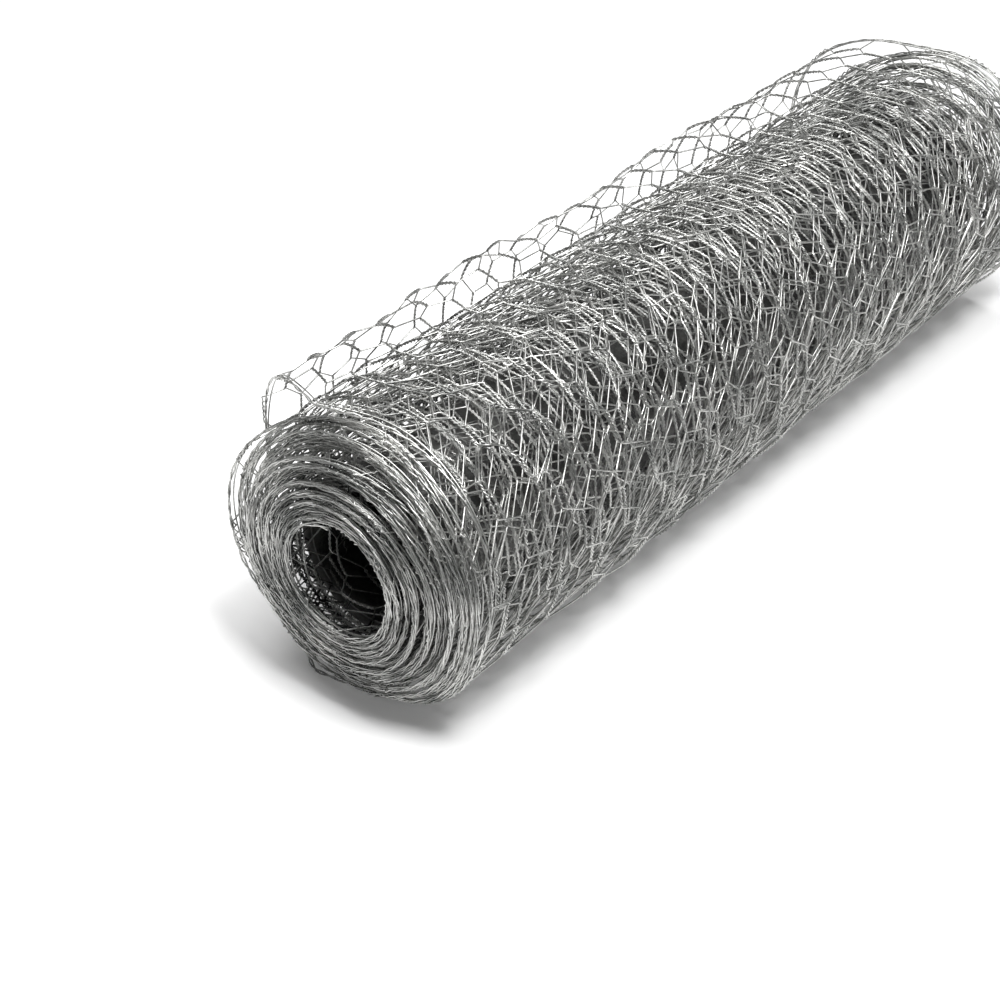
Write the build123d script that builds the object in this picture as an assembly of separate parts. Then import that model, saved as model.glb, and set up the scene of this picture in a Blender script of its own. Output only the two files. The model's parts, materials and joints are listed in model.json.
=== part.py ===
from build123d import *
import os
from math import asin, cos, degrees, radians, tan

# Roll of hexagonal wire netting, lying on its side.
# X runs along the roll, from the end that stands out of the roll towards the hollow end.
# The origin is on the axis of the bore, half-way along it, and Z is up.
# All sizes are in millimetres.

# Driving dimensions of the roll
sheet_width = 500.0  # selvedge to selvedge
bore_radius = 28.0
tight_turns = 27
turn_pitch = 1.6  # the selvedges are twisted pairs of 0.8 mm wire, which lie on each other
sheet_thickness = 1.8

# The inner turns have slid out of the roll at one end and into it at the other
end_setback = 18.0  # from the innermost turn back to the outermost
setback_power = 1.8  # above 1 the face is flat near the bore and falls away at the rim
selvedge_relief = 1.3  # how far each turn's edge stands out of the dip beside it

# The outermost turn has sprung away from the roll's back, as a slack belt would:
# it runs flat along the floor, round a half circle behind the roll, and flat again onto the roll's top
cut_edge_angle = -112.0  # where the sheet ends, from the back (+Y) towards the top (+Z)
slack_angle = 0.0  # the way the slack stands off
slack = 27.0
landing_depth = 1.0  # how far under the roll's surface the turn ends where it joins the roll
edge_slant = 32.0  # the slack has drawn the turn's near edge along the roll, most where it stands off most

half_width = sheet_width / 2
tight_radius = bore_radius + tight_turns * turn_pitch


def setback(radius):
    """Distance from the innermost turn's edge to that of a turn at this radius."""
    share = (radius - bore_radius) / (tight_radius - bore_radius)
    return end_setback * share**setback_power


def end_outline(edge, inward):
    """Points of one end's outline from the bore to the rim: a ridge for each turn, with a dip between."""
    points = []
    for turn in range(tight_turns):
        ridge = bore_radius + turn * turn_pitch
        dip = ridge + turn_pitch / 2
        points.append((edge + setback(ridge), ridge))
        points.append((edge + setback(dip) + inward * selvedge_relief, dip))
    points.append((edge + setback(tight_radius), tight_radius))
    return points


def tight_roll():
    """The turns that lie on each other, turned round the bore."""
    near = end_outline(-half_width, 1)
    far = end_outline(half_width, -1)
    section = make_face(Plane.XZ * Polyline(*near, *reversed(far), close=True))
    return revolve(section, axis=Axis.X)


def turn_outline(depth):
    """The outermost turn seen along the roll, this deep under its outside, from the cut edge onwards."""
    radius = tight_radius + turn_pitch - depth
    start = Vector(radius, 0).rotate(Axis.Z, cut_edge_angle)
    heading = Vector(0, 1).rotate(Axis.Z, cut_edge_angle)
    hugging = JernArc(start, heading, radius, slack_angle - 90 - cut_edge_angle)
    leaving = Line(hugging @ 1, hugging @ 1 + (hugging % 1) * slack)
    dive = degrees(asin((turn_pitch + landing_depth) / slack))
    loose = JernArc(leaving @ 1, leaving % 1, radius, 180 + dive)
    landing = Line(loose @ 1, loose @ 1 + (loose % 1) * slack * cos(radians(dive)))
    return [hugging, leaving, loose, landing]


def drawn_back(near_edge):
    """The wedge behind the roll that the outermost turn's near edge has left empty."""
    reach = tight_radius + turn_pitch + slack + sheet_thickness
    corner = (near_edge + (reach - slack) * tan(radians(edge_slant)), reach)
    clear = near_edge - end_setback
    outline = Polyline((near_edge, slack), corner, (clear, reach), (clear, slack), close=True)
    return extrude(make_face(outline), reach, both=True)


def outermost_turn():
    """The last turn of the sheet, hugging the roll below and slack over the back and the top."""
    outside = turn_outline(0)
    inside = turn_outline(sheet_thickness)
    cut_edge = Line(outside[0] @ 0, inside[0] @ 0)
    joined_edge = Line(outside[-1] @ 1, inside[-1] @ 1)
    face = make_face(outside + inside + [cut_edge, joined_edge])
    near_edge = -half_width + setback(tight_radius)
    return extrude(Plane.YZ.offset(near_edge) * face, sheet_width) - drawn_back(near_edge)


netting_roll = tight_roll() + outermost_turn()

os.makedirs("parts", exist_ok=True)
export_step(netting_roll, "parts/netting_roll.step")
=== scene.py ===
import json
import math

import bmesh
import bpy
import numpy as np
from bpy.props import FloatProperty, FloatVectorProperty, IntProperty, PointerProperty
from mathutils import Matrix, Vector


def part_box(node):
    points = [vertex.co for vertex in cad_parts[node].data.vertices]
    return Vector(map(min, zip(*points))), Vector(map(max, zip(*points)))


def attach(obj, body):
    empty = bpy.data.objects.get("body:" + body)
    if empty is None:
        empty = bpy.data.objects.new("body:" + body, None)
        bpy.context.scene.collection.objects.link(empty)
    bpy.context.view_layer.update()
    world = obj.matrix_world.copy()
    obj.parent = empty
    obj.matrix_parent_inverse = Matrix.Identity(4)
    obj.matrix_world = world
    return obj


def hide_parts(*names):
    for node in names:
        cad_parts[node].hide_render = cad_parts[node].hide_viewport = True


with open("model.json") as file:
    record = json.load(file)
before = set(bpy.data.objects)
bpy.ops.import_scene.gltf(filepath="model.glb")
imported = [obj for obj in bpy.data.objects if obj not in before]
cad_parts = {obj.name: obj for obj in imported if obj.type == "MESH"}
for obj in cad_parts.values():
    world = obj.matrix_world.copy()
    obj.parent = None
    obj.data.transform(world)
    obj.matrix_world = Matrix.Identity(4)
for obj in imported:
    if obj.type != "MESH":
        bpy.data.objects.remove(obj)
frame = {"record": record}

bl_info = {
    "name": "Wire netting roll",
    "version": (1, 0, 0),
    "blender": (4, 5, 0),
    "location": "3D View > Sidebar > Netting",
    "description": "Builds a roll of hexagonal wire netting, wire by wire, around its packed solid",
    "category": "Object",
}

NODE = "netting_roll"
BODY = "root"
MM = 0.001

LOWEST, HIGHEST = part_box(NODE)
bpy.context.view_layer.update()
BORE_RADIUS = frame["record"]["mounts"][0]["dims"]["r_mm"] * MM
OUTER_RADIUS = (HIGHEST.z - LOWEST.z) / 2

# Which tight turns each piece takes in, and how much of them is made
OUTER_TURNS = (2, 4, 7)  # how deep each outer piece reaches, in turns from the outside
MIDDLE_TURNS = (11, 16)  # the same for the middle pieces
BORE_TURNS = 3  # innermost turns, which are whole like the outer and middle ones
END_WIRES = 3  # wires beside each selvedge, which are all that the other turns have
TUBE_SET_IN = 22 * MM  # from the roll's ends to the tube that closes the view between those wires
TUBE_SIDES = 48

# The twists and the selvedges
TWIST_TURNS = 5  # turns of the two wires round each other where they join
TWIST_REACH = 0.75  # from a twist's middle to the middle of a wire, in wire diameters
EDGE_REACH = 1.2  # the same where a twist takes in the selvedge
SECTION_REACH = 0.6  # from a wire's middle to a corner of its section, in wire diameters
SELVEDGE_STRANDS = 3
SELVEDGE_STEPS = 6  # points in one turn of a selvedge's wires
SELVEDGE_APART = (0.65, 0.35)  # mean and change of its two wires' reach, in wire diameters
THIRD_WIRE = (2.4 * MM, 0.9 * MM)  # mean and change of how far its third wire runs inside it
SPIKE_LENGTH = (0.5, 1.2)  # shortest and longest, in shares of the length in the settings
SPIKE_SPREAD = 0.6
SPIKE_RISE = 0.4
WELD = 1e-7

# How uneven the sheet is
SPARE_ROWS = 6  # rows past the sheet's ends, some of which the slant brings onto the sheet
LOOSE_TURNS = 6  # the outermost of the tight turns, which lie less tight towards the outside
SLIDE = 0.8 * MM  # of a twist along the sheet
SWAY = 0.6 * MM  # of a twist across the sheet
LEAN = 0.05  # of a twist, across for each length along
LIFT = (0.25 * MM, 0.8 * MM)  # of a twist off the sheet, everywhere and more where it lies loose
BUMPS = 0.35 * MM  # of every turn
LOOSE_BUMPS = 0.7 * MM
SLACK_BUMPS = 2.5 * MM
PULL_WAVES = (2.62, 1.38)  # in a turn, so that the meshes of neighbouring turns don't line up
RAGGED_WAVES = (100 * MM, 700 * MM)
LEAST_RAGGED = 0.3
FAR_HOLD = 0.8  # share of the slack turn's drawn-back edge that its far edge doesn't follow
TUCK_LENGTH = 80 * MM
NOISE_WAVES = 5
SEED = 7
SPIKE_SEED = 1007  # of the first wire's spike, counted up from there

# How far the light reaches into the roll, as painted light and shade in the wires' colour: past it they
# take the painted shade colour
LIT_DEPTH = (38 * MM, 12 * MM)  # under its outside: where it has gone, and where it is still full
END_DEPTH = 12 * MM
END_LIGHT = 0.85
BORE_WALL = (3 * MM, 8 * MM)  # out from the bore: where it is still full, and where it has gone
BORE_DEPTH = (130 * MM, 20 * MM)  # into the bore: where it has gone, and where it is still full

# The zinc's patches and grains, in waves a metre, and its finish
PATCH_SCALE = 55
GRAIN_SCALE = 900
BLOOM = 0.35  # how much of the colour beneath the oxide bloom covers
METALLIC = 0.9
ROUGHNESS = 0.42

# The lamps' places and sizes, in metres
OVERHEAD_PLACE = (0.1, 0.3, 1.5)
OVERHEAD_SIZE = 1.6
FRONT_PLACE = (-0.2, -0.5, 1.3)
FRONT_SIZE = 0.45
FLOOR_SIZE = 12

IMAGE = 1000  # pixels
SENSOR = 36  # millimetres
MAP_NAME = "OFBake"
FINISH_NAME = "zinc_coated_wire"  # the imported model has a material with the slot's name
MIX_COLOURS = (6, 7)  # the Mix node's two colour sockets
MIX_RESULT = 2


# Sizes and colours that a user would change


class NettingSettings(bpy.types.PropertyGroup):
    wire: FloatProperty(
        name="Wire", description="Diameter of the wire", default=0.8 * MM, unit="LENGTH", precision=4
    )
    mesh: FloatProperty(
        name="Mesh", description="Distance between the twists of one row", default=25 * MM, unit="LENGTH"
    )
    twist: FloatProperty(
        name="Twist", description="Length of a twisted joint", default=19 * MM, unit="LENGTH"
    )
    row: FloatProperty(
        name="Row",
        description="Distance from one row of twists to the next",
        default=27 * MM,
        unit="LENGTH",
    )
    slant: FloatProperty(
        name="Slant",
        description="How far the rows slant across the sheet",
        default=math.radians(16),
        unit="ROTATION",
    )
    width: FloatProperty(
        name="Sheet width", description="Selvedge to selvedge", default=500 * MM, unit="LENGTH"
    )
    turns: IntProperty(name="Tight turns", description="Turns that lie on each other", default=27)
    pitch: FloatProperty(
        name="Pitch", description="Distance from one turn to the next", default=1.6 * MM, unit="LENGTH"
    )
    slack: FloatProperty(
        name="Slack",
        description="How far the outermost turn stands off behind the roll",
        default=27 * MM,
        unit="LENGTH",
    )
    hug: FloatProperty(
        name="Hug",
        description="How far round the roll the cut edge reaches past the floor line",
        default=math.radians(22),
        unit="ROTATION",
    )
    setback: FloatProperty(
        name="Setback",
        description="How far the outermost turn is set back behind the innermost",
        default=18 * MM,
        unit="LENGTH",
    )
    setback_power: FloatProperty(
        name="Setback power", description="How flat the end is near the bore", default=1.8
    )
    skew: FloatProperty(
        name="Skew", description="Extra setback on one side of the rim", default=5 * MM, unit="LENGTH"
    )
    skew_angle: FloatProperty(
        name="Skew angle",
        description="Where the extra setback is largest",
        default=math.radians(150),
        unit="ROTATION",
    )
    edge_slant: FloatProperty(
        name="Edge slant",
        description="How far the slack turn's near edge runs back along the roll where it stands off",
        default=math.radians(32),
        unit="ROTATION",
    )
    selvedge_lay: FloatProperty(
        name="Selvedge lay",
        description="Length of one turn of the selvedge's wires",
        default=19 * MM,
        unit="LENGTH",
    )
    ragged: FloatProperty(
        name="Ragged",
        description="How far a turn's edge wanders along the roll",
        default=4.5 * MM,
        unit="LENGTH",
    )
    pull: FloatProperty(
        name="Pull", description="How far the mesh is pulled out of shape", default=13 * MM, unit="LENGTH"
    )
    tuck: FloatProperty(
        name="Tuck",
        description="How far the cut edge is drawn along the roll",
        default=7 * MM,
        unit="LENGTH",
    )
    stand_off: FloatProperty(
        name="Stand-off",
        description="How far the outermost tight turn stands off behind the roll",
        default=6 * MM,
        unit="LENGTH",
    )
    spike: FloatProperty(
        name="Spike",
        description="Length of a cut wire's end past the last twist",
        default=9 * MM,
        unit="LENGTH",
    )


class FinishSettings(bpy.types.PropertyGroup):
    zinc: FloatVectorProperty(
        name="Zinc", description="Colour of the clean coating", subtype="COLOR", default=(0.8, 0.8, 0.775)
    )
    dull: FloatVectorProperty(
        name="Dull zinc",
        description="Colour of the weathered coating",
        subtype="COLOR",
        default=(0.31, 0.315, 0.305),
    )
    # Painted shade: the near-black colour that wires deep in the roll take, in place of the shade there
    painted_shade: FloatVectorProperty(
        name="Painted shade",
        description="Colour of the wires deep in the roll",
        subtype="COLOR",
        default=(0.02, 0.02, 0.019),
    )
    pale: FloatVectorProperty(
        name="Pale zinc",
        description="Colour of the oxide bloom",
        subtype="COLOR",
        default=(0.72, 0.73, 0.73),
    )


class StageSettings(bpy.types.PropertyGroup):
    pitch: FloatProperty(
        name="Pitch",
        description="How far the camera looks down",
        default=math.radians(35.64),
        unit="ROTATION",
    )
    heading: FloatProperty(
        name="Heading",
        description="Angle between the camera's heading and the roll",
        default=math.radians(39.21),
        unit="ROTATION",
    )
    focal: FloatProperty(
        name="Focal length", description="In widths of the image", default=2.1
    )
    depth: FloatProperty(
        name="Depth",
        description="From the camera to the near end of the bore",
        default=0.9274,
        unit="LENGTH",
    )
    bore_x: FloatProperty(name="Bore x", description="Pixel column of the bore's near end", default=334.6)
    bore_y: FloatProperty(name="Bore y", description="Pixel row of the bore's near end", default=581.3)
    floor: FloatVectorProperty(
        name="Floor", description="Colour of the floor", subtype="COLOR", default=(0.6, 0.6, 0.6)
    )
    floor_seen: FloatVectorProperty(
        name="Floor seen",
        description="Colour of the floor to the camera",
        subtype="COLOR",
        default=(0.9, 0.9, 0.9),
    )
    floor_glow: FloatProperty(
        name="Floor glow", description="White added to the floor for the camera", default=0.12
    )
    overhead: FloatProperty(
        name="Overhead", description="Power of the large lamp", default=24.0, unit="POWER"
    )
    front: FloatProperty(
        name="Front", description="Power of the small lamp", default=18.0, unit="POWER"
    )
    ambient: FloatProperty(
        name="Ambient", description="Strength of the light from all round", default=0.06
    )


# Where the sheet lies


def smooth_noise(seed, *fields):
    """A smooth repeatable number between about -1 and 1 from fields counted in waves."""
    draws = np.random.default_rng(seed)
    total = np.zeros(np.broadcast(*fields).shape)
    for _ in range(NOISE_WAVES):
        phase = draws.uniform(0, 2 * math.pi)
        mix = draws.uniform(-1, 1, len(fields)) + np.sign(draws.uniform(-1, 1, len(fields))) * 0.4
        waves = sum(share * field for share, field in zip(mix, fields))
        total = total + np.sin(phase + 2 * math.pi * waves)
    return total / 3


class Sheet:
    """The sheet of netting: how long it is, and where a point of it lies in the roll.

    A point is given by its distance along the sheet from the end in the bore, its distance
    across from the near selvedge, and its height over the sheet's middle."""

    def __init__(self, settings):
        self.s = settings
        self.start = BORE_RADIUS + settings.wire
        self.end = self.start + settings.turns * settings.pitch
        self.tight = math.pi * (self.end**2 - self.start**2) / settings.pitch
        self.legs = (settings.slack, math.pi * self.end, settings.slack, settings.hug * self.end)
        self.length = self.tight + sum(self.legs)
        self.rows = round(self.length / settings.row)
        self.row = self.length / self.rows
        self.wires = round(settings.width / (settings.mesh / 2))
        draws = np.random.default_rng(SEED)
        size = (self.rows + 2 * SPARE_ROWS, self.wires + 1)
        self.slide = draws.normal(0, SLIDE, size)
        self.sway = draws.normal(0, SWAY, size)
        self.lift = draws.normal(0, 1.0, size)
        self.lean = draws.normal(0, LEAN, size)

    def turn_start(self, turn):
        """Distance along the sheet to the start of a turn."""
        radius = self.start + turn * self.s.pitch
        return math.pi * (radius**2 - self.start**2) / self.s.pitch

    def first_row(self, turn):
        """The row that a turn starts with."""
        return round(self.turn_start(turn) / self.row)

    def row_place(self, row, column):
        """Distance along the sheet to the middle of a twist, in rows that slant across the sheet."""
        across = column * self.s.mesh / 2 - self.s.width / 2
        return (row + 0.5) * self.row + across * math.tan(self.s.slant)

    def whole_rows(self, wire):
        """The first and past-last row in which a wire's twist isn't cut off by the sheet's ends."""
        ahead = self.row_place(-0.5, wire) / self.row
        half = self.s.twist / 2 / self.row
        return math.ceil(half - ahead), math.floor(self.length / self.row - half - ahead)

    def wound(self, along):
        """Radius and angle on the spiral. The spiral ends on top of the roll."""
        along = np.clip(along, 0, self.tight)
        radius = np.sqrt(self.start**2 + self.s.pitch * along / math.pi)
        turned = 2 * math.pi * (radius - self.start) / self.s.pitch
        return radius, math.pi / 2 + 2 * math.pi * self.s.turns - turned

    def slack_part(self, past):
        """Place and outward direction on the slack turn, this far past the tight ones."""
        top, half, floor, hug = self.legs
        swing = np.clip((past - top) / self.end, 0, math.pi)
        swing = swing + np.clip((past - top - half - floor) / self.end, 0, None)
        angle = math.pi / 2 - swing
        shift = np.clip(past, 0, top) - np.clip(past - top - half, 0, floor)
        normal = np.stack([np.cos(angle), np.sin(angle)], -1)
        place = normal * self.end
        place[..., 0] += shift
        return place, normal

    def looseness(self, along):
        """From 0 deep in the roll to 1 in the slack turn."""
        first = self.turn_start(self.s.turns - LOOSE_TURNS)
        return np.clip((along - first) / (self.tight - first), 0, 1) ** 2

    def pulled(self, along, across):
        """The same points with the mesh pulled out of shape, which the selvedges hold at their edges."""
        inside = 1 - (1 - 2 * across / self.s.width) ** 4
        waves = 4 * across / self.s.width
        turn = (self.wound(along)[0] - self.start) / self.s.pitch
        aside = inside * self.s.pull * smooth_noise(17, PULL_WAVES[0] * turn, 0.6 * waves)
        onward = self.s.pull * smooth_noise(16, PULL_WAVES[1] * turn, 0.6 * waves)
        return along + onward, across + aside

    def wobble(self, along, waves, circle, stands_off):
        """How far the sheet lies above its true spiral."""
        even = BUMPS * smooth_noise(11, 3 * waves, np.cos(circle), np.sin(circle))
        loose = LOOSE_BUMPS * self.looseness(along) * smooth_noise(12, 6 * waves, along / (90 * MM))
        return even + loose + SLACK_BUMPS * stands_off * smooth_noise(13, 3 * waves, along / (150 * MM))

    def edge_place(self, along, radius, circle):
        """Where the near selvedge lies along the roll."""
        s = self.s
        share = np.clip((radius - self.start) / (self.end - self.start), 0, 1)
        setback = s.setback * share**s.setback_power + s.skew * share**2 * np.cos(circle - s.skew_angle)
        wander = smooth_noise(14, *[along / wave for wave in RAGGED_WAVES])
        ragged = s.ragged * (LEAST_RAGGED + share) * wander
        tuck = s.tuck * np.clip((along - self.length) / TUCK_LENGTH + 1, 0, 1.2)
        return LOWEST.x + setback + ragged + tuck

    def place(self, along, across, height):
        """Points in the roll, in metres."""
        s = self.s
        along, across = self.pulled(along, across)
        radius, angle = self.wound(along)
        slack = along > self.tight
        flat, normal = self.slack_part(np.clip(along - self.tight, 0, None))
        circle = np.where(slack, np.arctan2(flat[..., 1], flat[..., 0]), angle)
        behind = np.clip(np.cos(circle), 0, 1) ** 2
        stands_off = np.clip(np.hypot(flat[..., 0], flat[..., 1]) - self.end, 0, None) / s.slack
        waves = across / s.width
        out = height + self.wobble(along, waves, circle, slack * stands_off)
        out = out + s.stand_off * behind * self.looseness(along) * ~slack
        y = np.where(slack, flat[..., 0] + normal[..., 0] * out, (radius + out) * np.cos(angle))
        z = np.where(slack, flat[..., 1] + normal[..., 1] * out, (radius + out) * np.sin(angle))
        z = np.maximum(z, LOWEST.z + s.wire / 2)
        drawn_back = slack * np.clip(y - s.slack, 0, None) * math.tan(s.edge_slant)
        x = self.edge_place(along, radius, circle) + across + drawn_back * (1 - FAR_HOLD * waves)
        return np.stack([x, y, z], -1)


# The wires of the sheet

# Points in a turn of a twist, and places of the points on the wire between two twists
DETAIL = {
    "full": (3, (0.12, 0.88)),
    "fair": (2, ()),
}


def twist_points(sheet, wire, rows, turn_points):
    """One wire's points in its twists, as distances along, across and above the sheet."""
    s = sheet.s
    share = np.linspace(0, 1, TWIST_TURNS * turn_points + 1)
    angle = 2 * math.pi * TWIST_TURNS * share
    column = np.where((rows + wire) % 2 == 0, wire + 1, wire)
    side = np.where(column == wire, 1, -1)
    draw = (rows + SPARE_ROWS, column)
    at_edge = (column == 0) | (column == sheet.wires)
    gap = side * np.where(at_edge, EDGE_REACH, TWIST_REACH) * s.wire
    middle = sheet.row_place(rows, column) + sheet.slide[draw]
    centre = column * s.mesh / 2 + sheet.sway[draw] * ~at_edge
    height = (LIFT[0] + LIFT[1] * sheet.looseness(middle)) * sheet.lift[draw]
    swing = (share - 0.5) * s.twist
    along = middle[:, None] + swing
    across = centre[:, None] + swing * sheet.lean[draw][:, None] + gap[:, None] * np.cos(angle)
    above = height[:, None] + gap[:, None] * np.sin(angle)
    return np.stack([along, across, above], -1)


def wire_route(sheet, wire, first, last, detail):
    """One wire's points over some rows, as distances along, across and above the sheet."""
    turn_points, between = DETAIL[detail]
    twists = twist_points(sheet, wire, np.arange(first, last), turn_points)
    start, end = twists[:-1, -1], twists[1:, 0]
    steps = [start + (end - start) * share for share in between]
    if steps:
        linked = np.concatenate([twists[:-1], np.stack(steps, 1)], 1)
        return np.vstack([linked.reshape(-1, 3), twists[-1]])
    return twists.reshape(-1, 3)


def spike_end(sheet, wire, twist_end, onward):
    """The tip of a cut wire, past the last twist of the sheet."""
    draws = np.random.default_rng(SPIKE_SEED + wire)
    length = sheet.s.spike * draws.uniform(*SPIKE_LENGTH)
    spread = draws.uniform(-SPIKE_SPREAD, SPIKE_SPREAD)
    rise = draws.uniform(0.0, SPIKE_RISE)
    return twist_end + length * np.array([onward, spread, rise])


def joined_route(sheet, wire, first, last, detail):
    """A wire's points, carried on half-way to the twists before and after, or to its cut ends."""
    whole_first, whole_last = sheet.whole_rows(wire)
    first, last = max(first, whole_first), min(last, whole_last)
    route = wire_route(sheet, wire, first, last, detail)
    if first > whole_first:
        before = wire_route(sheet, wire, first - 1, first, detail)[-1]
        head = (before + route[0]) / 2
    else:
        head = spike_end(sheet, wire, route[0], -1)
    if last < whole_last:
        after = wire_route(sheet, wire, last, last + 1, detail)[0]
        tail = (route[-1] + after) / 2
    else:
        tail = spike_end(sheet, wire, route[-1], 1)
    return np.vstack([head, route, tail])


def selvedge_route(sheet, edge, strand):
    """One of a selvedge's wires: two lie loosely round each other, and the third runs inside them."""
    s = sheet.s
    along = np.arange(0, sheet.length, s.selvedge_lay / SELVEDGE_STEPS)
    wander = smooth_noise(21 + strand, along / (50 * MM))
    if strand == SELVEDGE_STRANDS - 1:
        inward = (THIRD_WIRE[0] + THIRD_WIRE[1] * wander) * (1 if edge == 0 else -1)
        return np.stack([along, edge + inward, 0.5 * MM * smooth_noise(24, along / (40 * MM))], -1)
    uneven = 0.8 * smooth_noise(20, along / (60 * MM))
    angle = 2 * math.pi * along / s.selvedge_lay + strand * math.pi + uneven
    apart = s.wire * (SELVEDGE_APART[0] + SELVEDGE_APART[1] * wander)
    return np.stack([along, edge + apart * np.cos(angle), apart * np.sin(angle)], -1)


def section(name, diameter):
    """A wire's three-sided section, as wide on average, seen from all sides, as the round wire."""
    curve = bpy.data.curves.new(name, "CURVE")
    curve.dimensions = "2D"
    spline = curve.splines.new("POLY")
    spline.points.add(2)
    radius = diameter * SECTION_REACH
    for corner, point in enumerate(spline.points):
        turn = 2 * math.pi * corner / 3
        point.co = (radius * math.cos(turn), radius * math.sin(turn), 0, 1)
    spline.use_cyclic_u = True
    return bpy.data.objects.new(name, curve)


def wires_curve(name, lines, outline):
    """A curve object with a straight-run spline for each wire."""
    curve = bpy.data.curves.new(name, "CURVE")
    curve.dimensions = "3D"
    curve.bevel_mode = "OBJECT"
    curve.bevel_object = outline
    curve.use_fill_caps = True
    for line in lines:
        spline = curve.splines.new("POLY")
        spline.points.add(len(line) - 1)
        spline.points.foreach_set("co", np.column_stack([line, np.ones(len(line))]).ravel())
        spline.use_smooth = True
    source = bpy.data.objects.new(name, curve)
    bpy.context.scene.collection.objects.link(source)
    return source


def wires_to_piece(name, sheet, routes):
    """One piece from many wires, each a line of points along, across and above the sheet."""
    outline = section(name + "_section", sheet.s.wire)
    source = wires_curve(name + "_lines", [sheet.place(*route.T) for route in routes], outline)
    graph = bpy.context.evaluated_depsgraph_get()
    mesh = bpy.data.meshes.new_from_object(source.evaluated_get(graph))
    bpy.data.objects.remove(source)
    bpy.data.objects.remove(outline)
    mesh.name = name
    lay_out_map(mesh, routes)
    close_wires(mesh)
    piece = bpy.data.objects.new(name, mesh)
    bpy.context.scene.collection.objects.link(piece)
    finish_piece(piece)


def finish_piece(piece):
    """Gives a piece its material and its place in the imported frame."""
    piece.data.materials.clear()
    piece.data.materials.append(galvanised_wire())
    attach(piece, BODY)
    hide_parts(NODE)


def lay_out_map(mesh, routes):
    """Lays the piece's map out as the flat sheet, along by across, with the caps on the wires' ends.

    The mesh holds the caps first, from the last wire to the first, and then each wire's rings."""
    caps = [route[[-1, 0]] for route in reversed(routes)]
    flat = np.vstack(caps + list(routes))[:, :2]
    flat = (flat - flat.min(0)) / np.ptp(flat, axis=0)
    vertex = np.empty(len(mesh.loops), np.int32)
    mesh.loops.foreach_get("vertex_index", vertex)
    layer = mesh.uv_layers[0]
    layer.name = MAP_NAME
    layer.uv.foreach_set("vector", flat[vertex // 3].astype(np.float32).ravel())


def close_wires(mesh):
    """Welds the caps, which are the mesh's first vertices, to the ends of their wires."""
    work = bmesh.new()
    work.from_mesh(mesh)
    bmesh.ops.remove_doubles(work, verts=work.verts, dist=WELD)
    work.to_mesh(mesh)
    work.free()


def make_turns(name, first_turn, last_turn, detail, beside_edges=None):
    """Some turns' wires, all of them or only so many beside each selvedge."""
    sheet = Sheet(bpy.context.scene.netting)
    first = sheet.first_row(first_turn) if first_turn else -SPARE_ROWS
    last = sheet.first_row(last_turn) if last_turn else sheet.rows + SPARE_ROWS
    most = beside_edges or sheet.wires
    chosen = [wire for wire in range(sheet.wires) if min(wire, sheet.wires - 1 - wire) < most]
    wires_to_piece(name, sheet, [joined_route(sheet, wire, first, last, detail) for wire in chosen])


def packed_shade_tube(name, inside, outside, first, last):
    """The turns too deep to tell apart, as a plain tube that closes the view through the roll; the wire
    material makes it near-black with painted shade.
    """
    bpy.ops.mesh.primitive_cylinder_add(
        vertices=TUBE_SIDES,
        radius=outside,
        depth=last - first,
        end_fill_type="NOTHING",
        rotation=(0, math.pi / 2, 0),
    )
    tube = bpy.context.active_object
    tube.name = name
    tube.location.x = (first + last) / 2
    bpy.ops.object.transform_apply(location=True, rotation=True)
    wall = tube.modifiers.new("wall", "SOLIDIFY")
    wall.thickness = outside - inside
    wall.offset = -1
    bpy.ops.object.modifier_apply(modifier=wall.name)
    finish_piece(tube)


# Shader maths


class Value:
    """A shader socket that takes part in Python arithmetic."""

    def __init__(self, tree, socket):
        self.tree = tree
        self.socket = socket

    def _math(self, operation, one, other):
        node = self.tree.add("ShaderNodeMath", {"operation": operation}, {0: one, 1: other})
        return node.out(0)

    def __add__(self, other):
        return self._math("ADD", self, other)

    __radd__ = __add__

    def __sub__(self, other):
        return self._math("SUBTRACT", self, other)

    def __rsub__(self, other):
        return self._math("SUBTRACT", other, self)

    def __mul__(self, other):
        return self._math("MULTIPLY", self, other)

    __rmul__ = __mul__

    def root(self):
        return self._math("SQRT", self, 0.0)

    def power(self, other):
        return self._math("POWER", self, other)

    def size(self):
        return self._math("ABSOLUTE", self, 0.0)

    def larger(self, other):
        return self._math("MAXIMUM", self, other)

    def between(self, low, high):
        """From 0 at low or less to 1 at high or more."""
        node = self.tree.add("ShaderNodeMapRange", {}, {0: self, 1: low, 2: high})
        return node.out("Result")


class Placed:
    """A node that has been added, and its outputs."""

    def __init__(self, tree, node):
        self.tree = tree
        self.node = node

    def out(self, key):
        return Value(self.tree, self.node.outputs[key])


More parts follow.
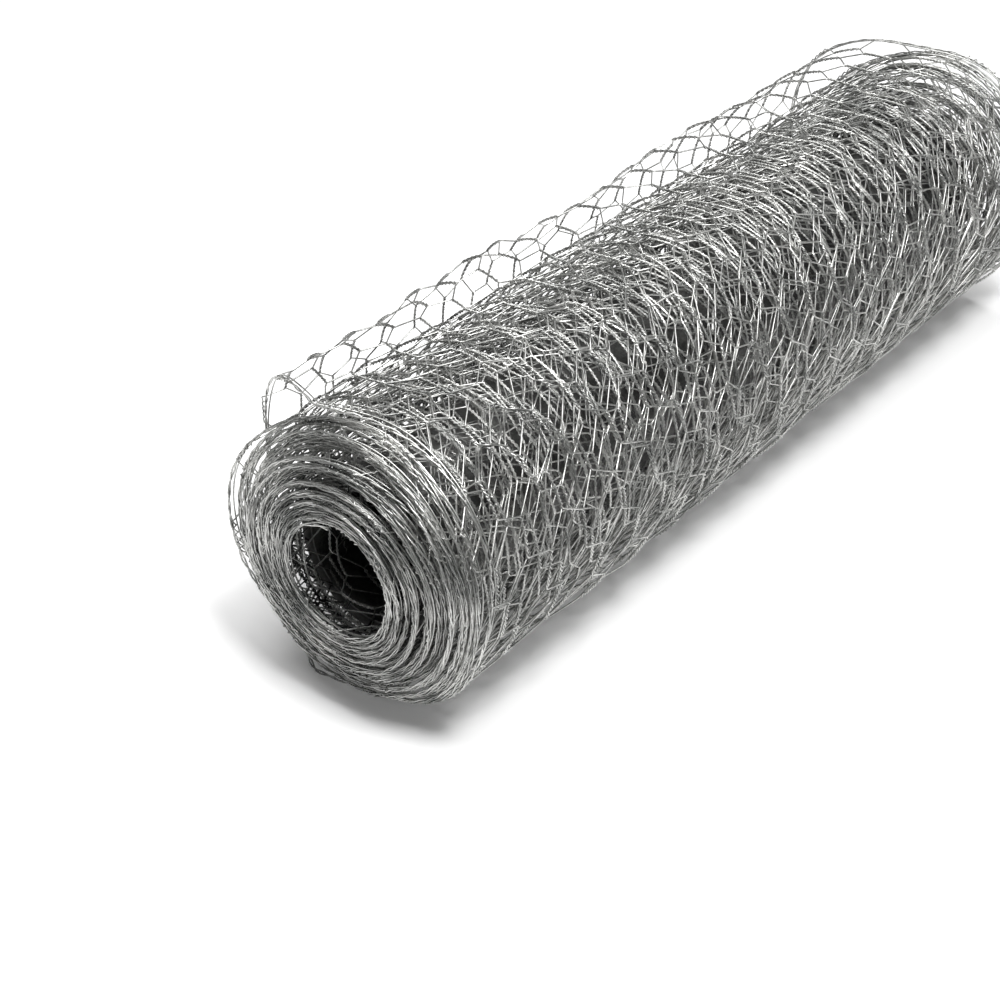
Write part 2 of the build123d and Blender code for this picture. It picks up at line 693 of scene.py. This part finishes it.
class Shader:
    """A material's node tree, built from Python."""

    def __init__(self, name):
        self.material = bpy.data.materials.new(name)
        self.material.use_nodes = True
        self.nodes = self.material.node_tree.nodes
        self.links = self.material.node_tree.links
        self.surface = self.nodes["Principled BSDF"]

    def add(self, kind, settings=None, inputs=None):
        """Adds a node, sets its settings first and then its sockets' values or links."""
        node = self.nodes.new(kind)
        for key, value in (settings or {}).items():
            if key == "stops":
                self.set_stops(node.color_ramp, value)
            else:
                setattr(node, key, value)
        for key, value in (inputs or {}).items():
            self.feed(node.inputs[key], value)
        return Placed(self, node)

    def feed(self, socket, value):
        if isinstance(value, Value):
            self.links.new(value.socket, socket)
        else:
            socket.default_value = value

    def set_stops(self, ramp, stops):
        while len(ramp.elements) < len(stops):
            ramp.elements.new(0.5)
        for element, (position, level) in zip(ramp.elements, stops):
            element.position = position
            element.color = (level, level, level, 1)

    def noise(self, vector, scale, detail):
        inputs = {"Vector": vector, "Scale": scale, "Detail": detail}
        return self.add("ShaderNodeTexNoise", {}, inputs).out("Fac")

    def ramp(self, value, *stops):
        return self.add("ShaderNodeValToRGB", {"stops": stops}, {"Fac": value}).out("Color")

    def blend(self, share, one, other):
        node = self.add("ShaderNodeMix", {"data_type": "RGBA"}, {"Factor": share})
        for socket, value in zip(MIX_COLOURS, (one, other)):
            self.feed(node.node.inputs[socket], value)
        return node.out(MIX_RESULT)

    def set(self, **sockets):
        for key, value in sockets.items():
            self.feed(self.surface.inputs[key.replace("_", " ")], value)


def colour(rgb):
    return (*rgb, 1.0)


def open_to_light(shader, place):
    """Mask of painted light and shade: from 0 for wires deep in the roll, which take the painted shade
    colour, to 1 for those on its outside, on its ends and on the bore's wall near its mouth.
    """
    parts = shader.add("ShaderNodeSeparateXYZ", {}, {"Vector": place})
    x, y, z = parts.out("X"), parts.out("Y"), parts.out("Z")
    from_axis = (y * y + z * z).root()
    outside = from_axis.between(*[OUTER_RADIUS - depth for depth in LIT_DEPTH])
    s = bpy.context.scene.netting
    half = s.width / 2
    share = from_axis.between(BORE_RADIUS, OUTER_RADIUS)
    setback = share.power(s.setback_power) * s.setback
    from_middle = (x - setback - (LOWEST.x + half)).size()
    at_end = from_middle.between(half - END_DEPTH, half) * END_LIGHT
    past_bore = from_axis.between(*[BORE_RADIUS + depth for depth in BORE_WALL])
    in_bore = from_middle.between(*[half - depth for depth in BORE_DEPTH]) * (1 - past_bore)
    return outside.larger(at_end).larger(in_bore)


def galvanised_wire():
    """Zinc-coated wire: patches of dull zinc, grains of pale bloom, and painted shade deep in the roll.
    """
    found = bpy.data.materials.get(FINISH_NAME)
    if found:
        return found
    finish = bpy.context.scene.finish
    shader = Shader(FINISH_NAME)
    place = shader.add("ShaderNodeTexCoord").out("Object")
    patches = shader.noise(place, PATCH_SCALE, 3)
    grains = shader.noise(place, GRAIN_SCALE, 2)
    dulled = shader.ramp(patches * 0.7 + grains * 0.3, (0.38, 0.0), (0.62, 1.0))
    bloom = shader.ramp(grains, (0.6, 0.0), (0.72, 1.0))
    base = shader.blend(dulled, colour(finish.dull), colour(finish.zinc))
    base = shader.blend(bloom * BLOOM, base, colour(finish.pale))
    # Painted shade: wires deep in the roll, away from its ends and the bore's mouth, take the near-black
    # painted shade colour
    base = shader.blend(open_to_light(shader, place), colour(finish.painted_shade), base)
    roughness = ROUGHNESS - dulled * 0.14 + grains * 0.1
    shader.set(Base_Color=base, Metallic=METALLIC, Roughness=roughness)
    return shader.material


# Operators, one for each piece or group of like pieces and one for the stage


class NETTING_OT_slack_turn(bpy.types.Operator):
    """Makes the outermost turn, which has sprung away behind the roll"""

    bl_idname = "netting.slack_turn"
    bl_label = "Slack turn"

    def execute(self, context):
        make_turns("slack_turn", context.scene.netting.turns, None, "full")
        return {"FINISHED"}


class NETTING_OT_outer_turns(bpy.types.Operator):
    """Makes the turns that show on the outside of the tight roll"""

    bl_idname = "netting.outer_turns"
    bl_label = "Outer turns"

    def execute(self, context):
        turns = context.scene.netting.turns
        first, second, third = [turns - deep for deep in OUTER_TURNS]
        make_turns("outer_turns", first, turns, "full")
        make_turns("outer_turns_below", second, first, "fair")
        make_turns("outer_turns_deep", third, second, "fair")
        return {"FINISHED"}


class NETTING_OT_inner_turns(bpy.types.Operator):
    """Makes the turns inside the roll, which show through the outer ones, on the ends and in the bore"""

    bl_idname = "netting.inner_turns"
    bl_label = "Inner turns"

    def execute(self, context):
        s = context.scene.netting
        middle, deepest = [s.turns - deep for deep in MIDDLE_TURNS]
        make_turns("middle_turns", middle, s.turns - OUTER_TURNS[-1], "fair")
        make_turns("middle_turns_deep", deepest, middle, "fair")
        make_turns("inner_turn_ends", BORE_TURNS, deepest, "fair", END_WIRES)
        make_turns("bore_turns", 0, BORE_TURNS, "fair")
        # A tube stands in for the middle turns too deep to tell apart; its near-black colour is painted
        # shade
        inside = BORE_RADIUS + (BORE_TURNS + 1) * s.pitch
        outside = BORE_RADIUS + (deepest - BORE_TURNS) * s.pitch
        first, last = LOWEST.x + TUBE_SET_IN, HIGHEST.x - TUBE_SET_IN
        packed_shade_tube("packed_turns_shade", inside, outside, first, last)
        return {"FINISHED"}


class NETTING_OT_selvedges(bpy.types.Operator):
    """Makes the wires along each edge of the sheet"""

    bl_idname = "netting.selvedges"
    bl_label = "Selvedges"

    def execute(self, context):
        sheet = Sheet(context.scene.netting)
        for name, edge in (("near_selvedge", 0.0), ("far_selvedge", sheet.s.width)):
            routes = [selvedge_route(sheet, edge, strand) for strand in range(SELVEDGE_STRANDS)]
            wires_to_piece(name, sheet, routes)
        return {"FINISHED"}


class NETTING_OT_stage(bpy.types.Operator):
    """Sets the floor, the lights and the camera"""

    bl_idname = "netting.stage"
    bl_label = "Stage"

    def execute(self, context):
        set_floor(context.scene.stage)
        set_lights(context.scene.stage)
        set_camera(context.scene.stage)
        context.scene.view_settings.view_transform = "Standard"
        return {"FINISHED"}


def white_to_camera(shader, colour_seen, glow):
    """Shows a surface white to the camera and in mirrors, while it lights the object as it did."""
    path = shader.add("ShaderNodeLightPath")
    seen = path.out("Is Camera Ray") + path.out("Is Glossy Ray") + path.out("Is Transmission Ray")
    bright = shader.add("ShaderNodeBsdfDiffuse", {}, {"Color": colour_seen})
    light = shader.add("ShaderNodeEmission", {}, {"Color": (1, 1, 1, 1), "Strength": glow})
    both = shader.add("ShaderNodeAddShader", {}, {0: bright.out("BSDF"), 1: light.out("Emission")})
    plain = Value(shader, shader.surface.outputs["BSDF"])
    mix = shader.add("ShaderNodeMixShader", {}, {0: seen, 1: plain, 2: both.out("Shader")})
    shader.links.new(mix.out("Shader").socket, shader.nodes["Material Output"].inputs["Surface"])


def set_floor(stage):
    bpy.ops.mesh.primitive_plane_add(size=FLOOR_SIZE, location=(0, 0, LOWEST.z))
    floor = bpy.context.active_object
    floor.name = "floor"
    shader = Shader("floor_white")
    shader.set(Base_Color=colour(stage.floor), Roughness=0.9)
    white_to_camera(shader, colour(stage.floor_seen), stage.floor_glow)
    floor.data.materials.append(shader.material)


def area_light(name, place, size, power):
    """A round lamp that shines on the roll's middle."""
    data = bpy.data.lights.new(name, "AREA")
    data.shape = "DISK"
    data.size = size
    data.energy = power
    lamp = bpy.data.objects.new(name, data)
    lamp.location = place
    lamp.rotation_euler = (-Vector(place)).to_track_quat("-Z", "Y").to_euler()
    bpy.context.scene.collection.objects.link(lamp)


def set_lights(stage):
    area_light("overhead", OVERHEAD_PLACE, OVERHEAD_SIZE, stage.overhead)
    area_light("front", FRONT_PLACE, FRONT_SIZE, stage.front)
    world = bpy.data.worlds.new("studio")
    world.use_nodes = True
    background = world.node_tree.nodes["Background"]
    background.inputs["Color"].default_value = (1, 1, 1, 1)
    background.inputs["Strength"].default_value = stage.ambient
    bpy.context.scene.world = world


def set_camera(stage):
    """Puts the near end of the bore at its pixel of a square image, at its depth."""
    heading = Vector((math.cos(stage.heading), math.sin(stage.heading), 0))
    forward = heading * math.cos(stage.pitch) - Vector((0, 0, math.sin(stage.pitch)))
    right = Vector((heading.y, -heading.x, 0))
    up = right.cross(forward)
    bore = Vector((LOWEST.x, 0, 0))
    pixel = stage.depth / (stage.focal * IMAGE)
    aside = (stage.bore_x - IMAGE / 2) * pixel
    down = (stage.bore_y - IMAGE / 2) * pixel
    place = bore - forward * stage.depth - right * aside + up * down
    data = bpy.data.cameras.new("camera")
    data.sensor_width = SENSOR
    data.lens = SENSOR * stage.focal
    data.clip_start = 0.05
    camera = bpy.data.objects.new("camera", data)
    turn = Matrix((right, up, -forward)).transposed().to_4x4()
    camera.matrix_world = Matrix.Translation(place) @ turn
    bpy.context.scene.collection.objects.link(camera)
    bpy.context.scene.camera = camera


class NETTING_PT_roll(bpy.types.Panel):
    """Lists the steps that build the roll"""

    bl_label = "Netting roll"
    bl_idname = "NETTING_PT_roll"
    bl_space_type = "VIEW_3D"
    bl_region_type = "UI"
    bl_category = "Netting"

    def draw(self, context):
        for operator in OPERATORS:
            self.layout.operator(operator.bl_idname)
        for settings in (context.scene.netting, context.scene.finish, context.scene.stage):
            for name in settings.__annotations__:
                self.layout.prop(settings, name)


SETTINGS = (
    ("netting", NettingSettings),
    ("finish", FinishSettings),
    ("stage", StageSettings),
)
OPERATORS = (
    NETTING_OT_slack_turn,
    NETTING_OT_outer_turns,
    NETTING_OT_inner_turns,
    NETTING_OT_selvedges,
    NETTING_OT_stage,
)


def register():
    for name, group in SETTINGS:
        bpy.utils.register_class(group)
        setattr(bpy.types.Scene, name, PointerProperty(type=group))
    for operator in OPERATORS:
        bpy.utils.register_class(operator)
    bpy.utils.register_class(NETTING_PT_roll)


def unregister():
    bpy.utils.unregister_class(NETTING_PT_roll)
    for operator in reversed(OPERATORS):
        bpy.utils.unregister_class(operator)
    for name, group in reversed(SETTINGS):
        delattr(bpy.types.Scene, name)
        bpy.utils.unregister_class(group)


def main():
    register()
    bpy.ops.netting.slack_turn()
    bpy.ops.netting.outer_turns()
    bpy.ops.netting.inner_turns()
    bpy.ops.netting.selvedges()
    bpy.ops.netting.stage()


if __name__ == "__main__":
    main()
